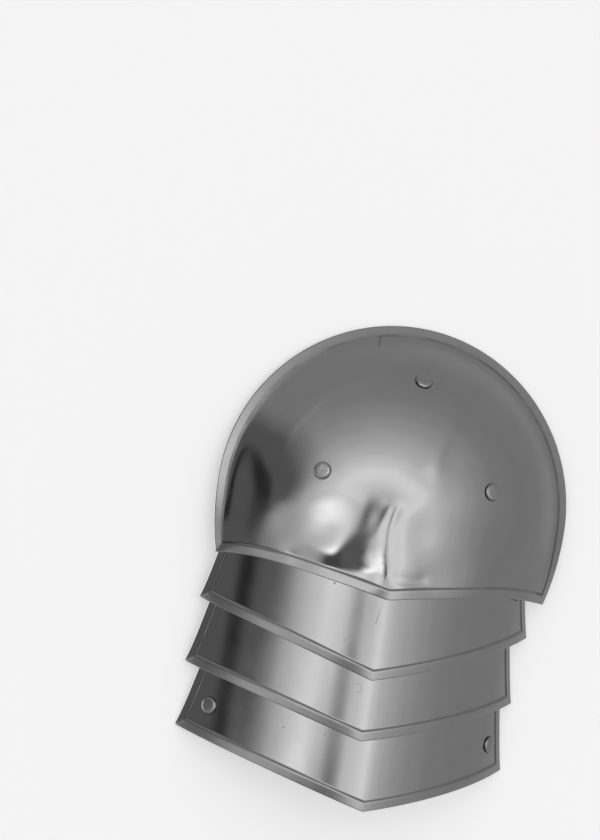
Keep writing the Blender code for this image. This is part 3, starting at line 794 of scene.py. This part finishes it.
class Tree:
    """Short ways to add and join shader nodes."""

    def __init__(self, tree):
        self.tree = tree

    def add(self, kind, inputs=None, **settings):
        node = self.tree.nodes.new(kind)
        for key, value in settings.items():
            setattr(node, key, value)
        self.fill(node, inputs or {})
        return node

    def fill(self, node, inputs):
        for key, value in inputs.items():
            self.connect(value, node.inputs[key])

    def connect(self, value, socket):
        """Link another node's output to a socket, or set the socket to a plain value."""
        if isinstance(value, bpy.types.NodeSocket):
            self.tree.links.new(value, socket)
        else:
            socket.default_value = value

    def math(self, operation, a, b=0.0, clamp=False):
        return self.add("ShaderNodeMath", {0: a, 1: b}, operation=operation, use_clamp=clamp).outputs[0]

    def total(self, a, b):
        return self.math("ADD", a, b)

    def difference(self, a, b):
        return self.math("SUBTRACT", a, b)

    def product(self, a, b):
        return self.math("MULTIPLY", a, b)

    def length(self, a, b):
        """The long side of a right-angled triangle."""
        return self.math("SQRT", self.total(self.product(a, a), self.product(b, b)))

    def vector(self, operation, a, b):
        """A vector sum, or the number that a dot product or a distance gives."""
        node = self.add("ShaderNodeVectorMath", {0: a, 1: b}, operation=operation)
        return node.outputs["Value" if operation in ("DOT_PRODUCT", "DISTANCE") else "Vector"]

    def times(self, vector, factor):
        return self.add("ShaderNodeVectorMath", {0: vector, "Scale": factor}, operation="SCALE").outputs[0]

    def ramp(self, value, low, high, to_low=0.0, to_high=1.0, smooth=True):
        """Rise from one level to the other as the value goes from low to high, or from high to low."""
        levels = {"Value": value, "From Min": low, "From Max": high, "To Min": to_low, "To Max": to_high}
        kind = "SMOOTHSTEP" if smooth else "LINEAR"
        return self.add("ShaderNodeMapRange", levels, interpolation_type=kind, clamp=True).outputs[0]

    def noise(self, vector, scale, detail, roughness):
        inputs = {"Vector": vector, "Scale": scale, "Detail": detail, "Roughness": roughness}
        return self.add("ShaderNodeTexNoise", inputs).outputs["Fac"]

    def scaled(self, vector, scale, turn):
        return self.add("ShaderNodeMapping", {"Vector": vector, "Scale": scale, "Rotation": turn}).outputs[0]

    def mix(self, factor, a, b):
        node = self.add("ShaderNodeMix", data_type="RGBA")
        for socket, value in (("Factor", factor), ("A", a), ("B", b)):
            self.connect(value, [item for item in node.inputs if item.name == socket and item.enabled][0])
        return [item for item in node.outputs if item.enabled][0]

    def bump(self, strength, distance, height, normal=None, invert=False):
        inputs = {"Strength": strength, "Distance": distance, "Height": height}
        if normal is not None:
            inputs["Normal"] = normal
        return self.add("ShaderNodeBump", inputs, invert=invert).outputs[0]


def new_material(name):
    """A new material, its tree and its shader."""
    made = bpy.data.materials.new(name)
    made.use_nodes = True
    return made, Tree(made.node_tree), made.node_tree.nodes["Principled BSDF"]


# The outside is polished, the inside is left as hammered
OUTSIDE_ROUGHNESS, INSIDE_ROUGHNESS = 0.10, 0.42
OUTSIDE_PLANISHING, INSIDE_PLANISHING = 0.00012, 0.0006

# Small marks on the plates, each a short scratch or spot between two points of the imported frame
SCRATCHES = (
    # start, end, half width in millimetres, how dark
    ((-0.0067, -0.0194, 0.0620), (-0.0079, -0.0256, 0.0622), 0.40, 0.22),
    ((-0.0079, -0.0256, 0.0622), (-0.0091, -0.0326, 0.0627), 0.60, 0.42),
    ((-0.0151, -0.0219, 0.0612), (-0.0117, -0.0271, 0.0618), 0.45, 0.16),
    ((-0.0143, -0.0366, 0.0617), (-0.0101, -0.0330, 0.0626), 0.45, 0.20),
    ((-0.0258, 0.1370, 0.0052), (-0.0270, 0.1307, 0.0108), 1.20, 0.38),
    ((-0.0861, -0.0913, 0.0212), (-0.0860, -0.0914, 0.0212), 0.80, 0.55),
)
# A ring mark on the second lame: its middle, radius and how dark it is
RING_MARK = ((-0.01271, -0.07297, 0.06026), 0.0027)
RING_STAIN = 0.30
# Painted shade round each shown rivet head, where it meets the plate: how far it reaches, where it is full,
# and how dark it is
HEAD_SHADE_WIDTH, HEAD_SHADE_FULL, HEAD_SHADE = 0.0010, 0.0002, 0.60


def scratch_mask(tree, spot, start, end, half_width):
    """1 on the line from start to end, 0 further away than the half width."""
    route = Vector(end) - Vector(start)
    offset = tree.vector("SUBTRACT", spot, start)
    share = tree.vector("DOT_PRODUCT", offset, tuple(route / route.length_squared))
    near = tree.times(tuple(route), tree.math("ADD", share, clamp=True))
    away = tree.vector("DISTANCE", offset, near)
    return tree.ramp(away, 0.001 * half_width, 0.0002 * half_width)


def ring_mask(tree, spot, centre, radius):
    """A thin ring, stronger on one side."""
    away = tree.vector("DISTANCE", spot, centre)
    ring = tree.ramp(tree.math("ABSOLUTE", tree.difference(away, radius)), 0.0005, 0.0001)
    side = tree.vector("DOT_PRODUCT", tree.vector("SUBTRACT", spot, centre), (1.0, 0.2, 0.0))
    return tree.product(ring, tree.ramp(side, -0.0025, 0.002, 0.25, 1.0))


def attribute(tree, name):
    """A number that the dense surfaces keep for each point."""
    return tree.add("ShaderNodeAttribute", attribute_name=name).outputs["Fac"]


def outside_marks(tree, spot, smudge, colour, rough, heads):
    """What only the outside shows: the groove, darkened partly as polish residue and partly as painted shade,
    scratches, painted shade round the heads, the satin border.
    """
    inset = attribute(tree, "inset_mm")
    # The groove at the border's foot: partly polish residue, partly painted shade, darker at the sides than
    # at the lower edge
    away = tree.math("ABSOLUTE", tree.difference(inset, GROOVE * 1000.0))
    groove_residue_and_shade = tree.product(tree.ramp(away, 1.4, 0.2), tree.ramp(smudge, 0.35, 0.62, 0.75, 1.0))
    groove_residue_and_shade = tree.product(groove_residue_and_shade, tree.ramp(attribute(tree, "side"), 0.0, 1.0, 0.38, 0.80))
    colour = tree.mix(groove_residue_and_shade, colour, STAIN_AND_SHADE)
    marks = [(scratch_mask(tree, spot, *line), dark) for *line, dark in SCRATCHES]
    # Painted shade round each shown rivet head, a dark line where the head meets the plate
    for head in heads:
        away = tree.vector("DISTANCE", spot, tuple(head))
        line = tree.ramp(away, RIVET_HEAD_RADIUS + HEAD_SHADE_WIDTH, RIVET_HEAD_RADIUS + HEAD_SHADE_FULL)
        marks.append((line, HEAD_SHADE))
    marks.append((ring_mask(tree, spot, *RING_MARK), RING_STAIN))
    for mark, dark in marks:
        colour = tree.mix(tree.product(mark, dark), colour, STAIN_AND_SHADE)
    band = tree.product(tree.ramp(inset, 6.4, 5.6), attribute(tree, "satin"))
    rough = tree.total(rough, tree.product(band, 0.17))
    rough = tree.total(rough, tree.product(groove_residue_and_shade, 0.20))
    return colour, rough


def plate_material(name, inside, heads):
    """Hand-polished steel: soft planishing, a fine grain, smudges, small pits and a darkened groove, partly
    polish residue and partly painted shade.

    The heads are the middles of the shown rivet heads, round which the plate has painted shade.
    """
    made, tree, shader = new_material(name)
    spot = tree.add("ShaderNodeTexCoord").outputs["Object"]
    cloud = tree.noise(spot, 22.0, 4.0, 0.6)
    smudge = tree.noise(spot, 60.0, 3.0, 0.5)
    fine = tree.noise(spot, 900.0, 2.0, 0.5)
    grain = tree.noise(tree.scaled(spot, (1500.0, 55.0, 1500.0), (0.0, 0.0, 0.08)), 1.0, 2.0, 0.5)
    pits = tree.add("ShaderNodeTexVoronoi", {"Vector": spot, "Scale": 120.0, "Randomness": 1.0})
    rare = tree.noise(spot, 45.0, 1.0, 0.5)
    pit = tree.product(tree.ramp(pits.outputs["Distance"], 0.085, 0.03), tree.ramp(rare, 0.60, 0.68))
    tone = tree.total(tree.product(cloud, 0.16), tree.product(smudge, 0.06))
    tone = tree.total(tone, tree.product(grain, 0.06))
    colour = tree.times(STEEL, tree.ramp(tone, 0.08, 0.20, 0.94, 1.05, smooth=False))
    colour = tree.mix(tree.product(pit, 0.55), colour, PIT_COLOUR)
    base = INSIDE_ROUGHNESS if inside else OUTSIDE_ROUGHNESS
    rough = tree.total(tree.ramp(smudge, 0.35, 0.68, base - 0.015, base + 0.03),
                       tree.product(tree.difference(fine, 0.5), 0.03))
    if not inside:
        colour, rough = outside_marks(tree, spot, smudge, colour, rough, heads)
    rough = tree.total(rough, tree.product(pit, 0.25))
    normal = tree.bump(0.35, 0.000012, grain)
    planishing = tree.noise(spot, 42.0, 1.0, 0.5)
    normal = tree.bump(0.5, INSIDE_PLANISHING if inside else OUTSIDE_PLANISHING, planishing, normal)
    normal = tree.bump(0.4, 0.00015, pit, normal, invert=True)
    tree.fill(shader, {"Base Color": colour, "Metallic": 1.0, "Roughness": rough, "Normal": normal})
    return made


def rivet_material():
    """Hammered rivet heads, satin and a little darker in their small hollows."""
    made, tree, shader = new_material("rivet_steel")
    spot = tree.add("ShaderNodeTexCoord").outputs["Object"]
    hollow = tree.noise(spot, 420.0, 3.0, 0.55)
    colour = tree.times(STEEL, tree.ramp(hollow, 0.3, 0.7, 0.80, 1.08, smooth=False))
    rough = tree.ramp(hollow, 0.3, 0.7, 0.42, 0.26)
    normal = tree.bump(0.5, 0.00025, hollow)
    tree.fill(shader, {"Base Color": colour, "Metallic": 1.0, "Roughness": rough, "Normal": normal})
    return made


def leather_material():
    """Strap leather: pebbled grain, darker waxed patches and rubbed fibres."""
    made, tree, shader = new_material("strip_leather")
    spot = tree.add("ShaderNodeTexCoord").outputs["Object"]
    grain = tree.add("ShaderNodeTexVoronoi", {"Vector": spot, "Scale": 1500.0}).outputs["Distance"]
    patch = tree.noise(spot, 60.0, 4.0, 0.6)
    fibre = tree.noise(spot, 700.0, 4.0, 0.6)
    colour = tree.mix(tree.ramp(patch, 0.35, 0.7), LEATHER_WAXED, LEATHER_PLAIN)
    colour = tree.mix(tree.product(tree.ramp(fibre, 0.45, 0.7), 0.35), colour, LEATHER_RUBBED)
    rough = tree.ramp(patch, 0.3, 0.7, 0.72, 0.56)
    normal = tree.bump(0.4, 0.0003, fibre, tree.bump(0.5, 0.00025, grain))
    tree.fill(shader, {"Base Color": colour, "Roughness": rough, "Normal": normal})
    return made


def floor_material():
    """Plain pale floor that glows a little, so that its shadows stay soft."""
    made, tree, shader = new_material("floor")
    tree.fill(shader, {"Base Color": FLOOR_GREY, "Roughness": 0.9, "Specular IOR Level": 0.0,
                       "Emission Color": WHITE, "Emission Strength": FLOOR_GLOW})
    return made


# The camera: a long lens almost straight above, as the photograph was taken. The frame's origin shows at
# ORIGIN_PIXEL.
LENS_PIXELS = 2400.0
LENS_DISTANCE = 1.5
PITCH, YAW, ROLL = math.radians(2.17), math.radians(9.71), math.radians(-10.24)
ORIGIN_PIXEL = (379.9, 559.7)
FRAME_PIXELS = (600.0, 840.0)
SENSOR_MM = 36.0


def camera_turn():
    """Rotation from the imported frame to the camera's."""
    return Matrix.Rotation(ROLL, 3, "Z") @ Matrix.Rotation(PITCH, 3, "X") @ Matrix.Rotation(YAW, 3, "Y")


def add_camera():
    """The camera, without shift or depth of field."""
    data = bpy.data.cameras.new("camera")
    data.sensor_fit = "VERTICAL"
    data.sensor_height = SENSOR_MM
    data.lens = LENS_PIXELS / FRAME_PIXELS[1] * SENSOR_MM
    data.clip_start, data.clip_end = 0.05, 50.0
    camera = bpy.data.objects.new("camera", data)
    bpy.context.scene.collection.objects.link(camera)
    turn = camera_turn()
    across = (ORIGIN_PIXEL[0] - FRAME_PIXELS[0] / 2) / LENS_PIXELS
    up = (FRAME_PIXELS[1] / 2 - ORIGIN_PIXEL[1]) / LENS_PIXELS
    place = -(turn.transposed() @ Vector((across, up, -1.0))) * LENS_DISTANCE
    camera.matrix_world = Matrix.Translation(place) @ turn.transposed().to_4x4()
    bpy.context.scene.camera = camera


# The studio, as brightness over directions: degrees to the right of and above the lens axis. Each patch
# is an ellipse: centre, half width and half height, lean to the right in degrees, the share of its reach
# that is fully covered, brightness and cover.
OVERHEAD = (4.2, 2.4)
OVERHEAD_STRETCH = 0.825
SKY_DEGREES = 120.0
OVERHEAD_STEPS = (
    # degrees from the middle, brightness
    (0.0, 0.98), (22.0, 1.45), (30.0, 1.15), (37.0, 0.91), (45.0, 0.74), (53.0, 0.586), (61.0, 0.488),
    (72.0, 0.406), (90.0, 0.376), (104.0, 0.38), (120.0, 0.46),
)
PATCHES = (
    ((-16.2, -24.3), (24.9, 26.4), 0.0, 0.55, 0.080, 0.97),
    ((-78.3, 19.1), (52.1, 41.7), 0.0, 0.67, 0.171, 1.0),
    ((-48.8, -10.4), (17.4, 14.2), 0.0, 0.50, 0.79, 1.0),
    ((-62.4, 17.0), (6.6, 23.5), -18.0, 0.40, 0.04, 1.0),
    ((-22.5, -5.5), (12.5, 7.0), 0.0, 0.00, 2.4, 1.0),
    ((-4.0, -18.0), (8.8, 27.0), 0.0, 0.30, 0.18, 1.0),
    ((-138.0, -8.0), (50.0, 60.0), 0.0, 0.80, 2.4, 1.0),
)


def lens_degrees(tree):
    """A direction of the sky as degrees to the right of and above the lens axis."""
    direction = tree.add("ShaderNodeTexCoord").outputs["Generated"]
    right, up, ahead = [tree.vector("DOT_PRODUCT", direction, tuple(row)) for row in camera_turn()]
    flat = tree.length(right, up)
    angle = tree.math("DEGREES", tree.math("ARCTAN2", flat, ahead))
    scale = tree.math("DIVIDE", angle, tree.math("MAXIMUM", flat, 0.0001))
    return tree.product(right, scale), tree.product(up, scale)


def ellipse_reach(tree, place, centre, size, lean):
    """How far a place lies from the middle of an ellipse, in shares of the ellipse's own reach."""
    a = tree.difference(place[0], centre[0])
    b = tree.difference(place[1], centre[1])
    cosine, sine = math.cos(math.radians(lean)), math.sin(math.radians(lean))
    across = tree.difference(tree.product(a, cosine / size[0]), tree.product(b, sine / size[0]))
    along = tree.total(tree.product(a, sine / size[1]), tree.product(b, cosine / size[1]))
    return tree.length(across, along)


def overhead_level(tree, away):
    """Brightness of the light overhead, at a distance from its middle."""
    ramp = tree.add("ShaderNodeValToRGB", {"Fac": tree.math("DIVIDE", away, SKY_DEGREES, clamp=True)})
    ramp.color_ramp.interpolation = "EASE"
    stops = ramp.color_ramp.elements
    stops[0].position, stops[1].position = 0.0, 1.0
    for degrees, _ in OVERHEAD_STEPS[1:-1]:
        stops.new(degrees / SKY_DEGREES)
    peak = OVERHEAD_STEPS[0][1]
    for stop, (_, bright) in zip(stops, OVERHEAD_STEPS):
        stop.color = (bright / peak, bright / peak, bright / peak, 1.0)
    return tree.product(ramp.outputs["Color"], peak)


def add_world():
    """The studio's soft light, as a sky of bands with patches laid over one another."""
    world = bpy.data.worlds.new("studio")
    bpy.context.scene.world = world
    world.use_nodes = True
    tree = Tree(world.node_tree)
    place = lens_degrees(tree)
    level = overhead_level(tree, ellipse_reach(tree, place, OVERHEAD, (1.0, OVERHEAD_STRETCH), 0.0))
    for centre, size, lean, full, bright, cover in PATCHES:
        reach = ellipse_reach(tree, place, centre, size, lean)
        mask = tree.product(tree.ramp(reach, 1.0, full), cover)
        keep = tree.product(level, tree.difference(1.0, mask))
        level = tree.total(keep, tree.product(mask, bright))
    tree.fill(world.node_tree.nodes["Background"], {"Strength": level, "Color": WHITE})


def add_floor():
    """The floor, which the steel doesn't mirror."""
    bpy.ops.mesh.primitive_grid_add(x_subdivisions=2, y_subdivisions=2, size=FLOOR_SIZE,
                                    location=(0.0, 0.0, -FLOOR_DROP))
    floor = bpy.context.object
    floor.name = "floor"
    floor.data.materials.append(floor_material())
    floor.visible_glossy = False


def add_object():
    """All plates, leather strips and rivets, each in place of its node."""
    rivet_steel = rivet_material()
    leather = leather_material()
    cop = Cop()
    lames = [Lame(*row) for row in LAMES]
    plates = [cop] + lames
    strips = [(name, strip_plan(cop, lames, *places)) for name, *places in STRIPS]
    heads = [outer_point(plate, spot) + SHIFT
             for _, seats in strips for plate, spot, kind in seats if kind == "shown"]
    outside = plate_material("plate_steel", False, heads)
    inside = plate_material("plate_inside", True, [])
    made = [(dense_cop(cop, [outside, inside]), cop.name, "plate_steel")]
    for lame in lames:
        made.append((dense_lame(lame, [outside, inside]), lame.name, "plate_steel"))
    for name, seats in strips:
        sections, grips = strip_sections(plates, seats)
        strip = "leather_" + name
        made.append((dense_strip(strip + "_strap", sections, [leather]), strip, "strip_leather"))
        for (plate, spot, kind), grip in zip(seats, grips):
            if kind != "passed":
                rivet = "rivet_" + plate.name + "_" + name
                piece = dense_rivet(rivet + "_head", plate, spot, kind == "hidden", grip, [rivet_steel])
                made.append((piece, rivet, "rivet_steel"))
    for piece, node, slot in made:
        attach(piece, "root")
        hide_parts(node)


bpy.context.scene.view_settings.view_transform = "Standard"
add_object()
add_world()
add_floor()
add_camera()
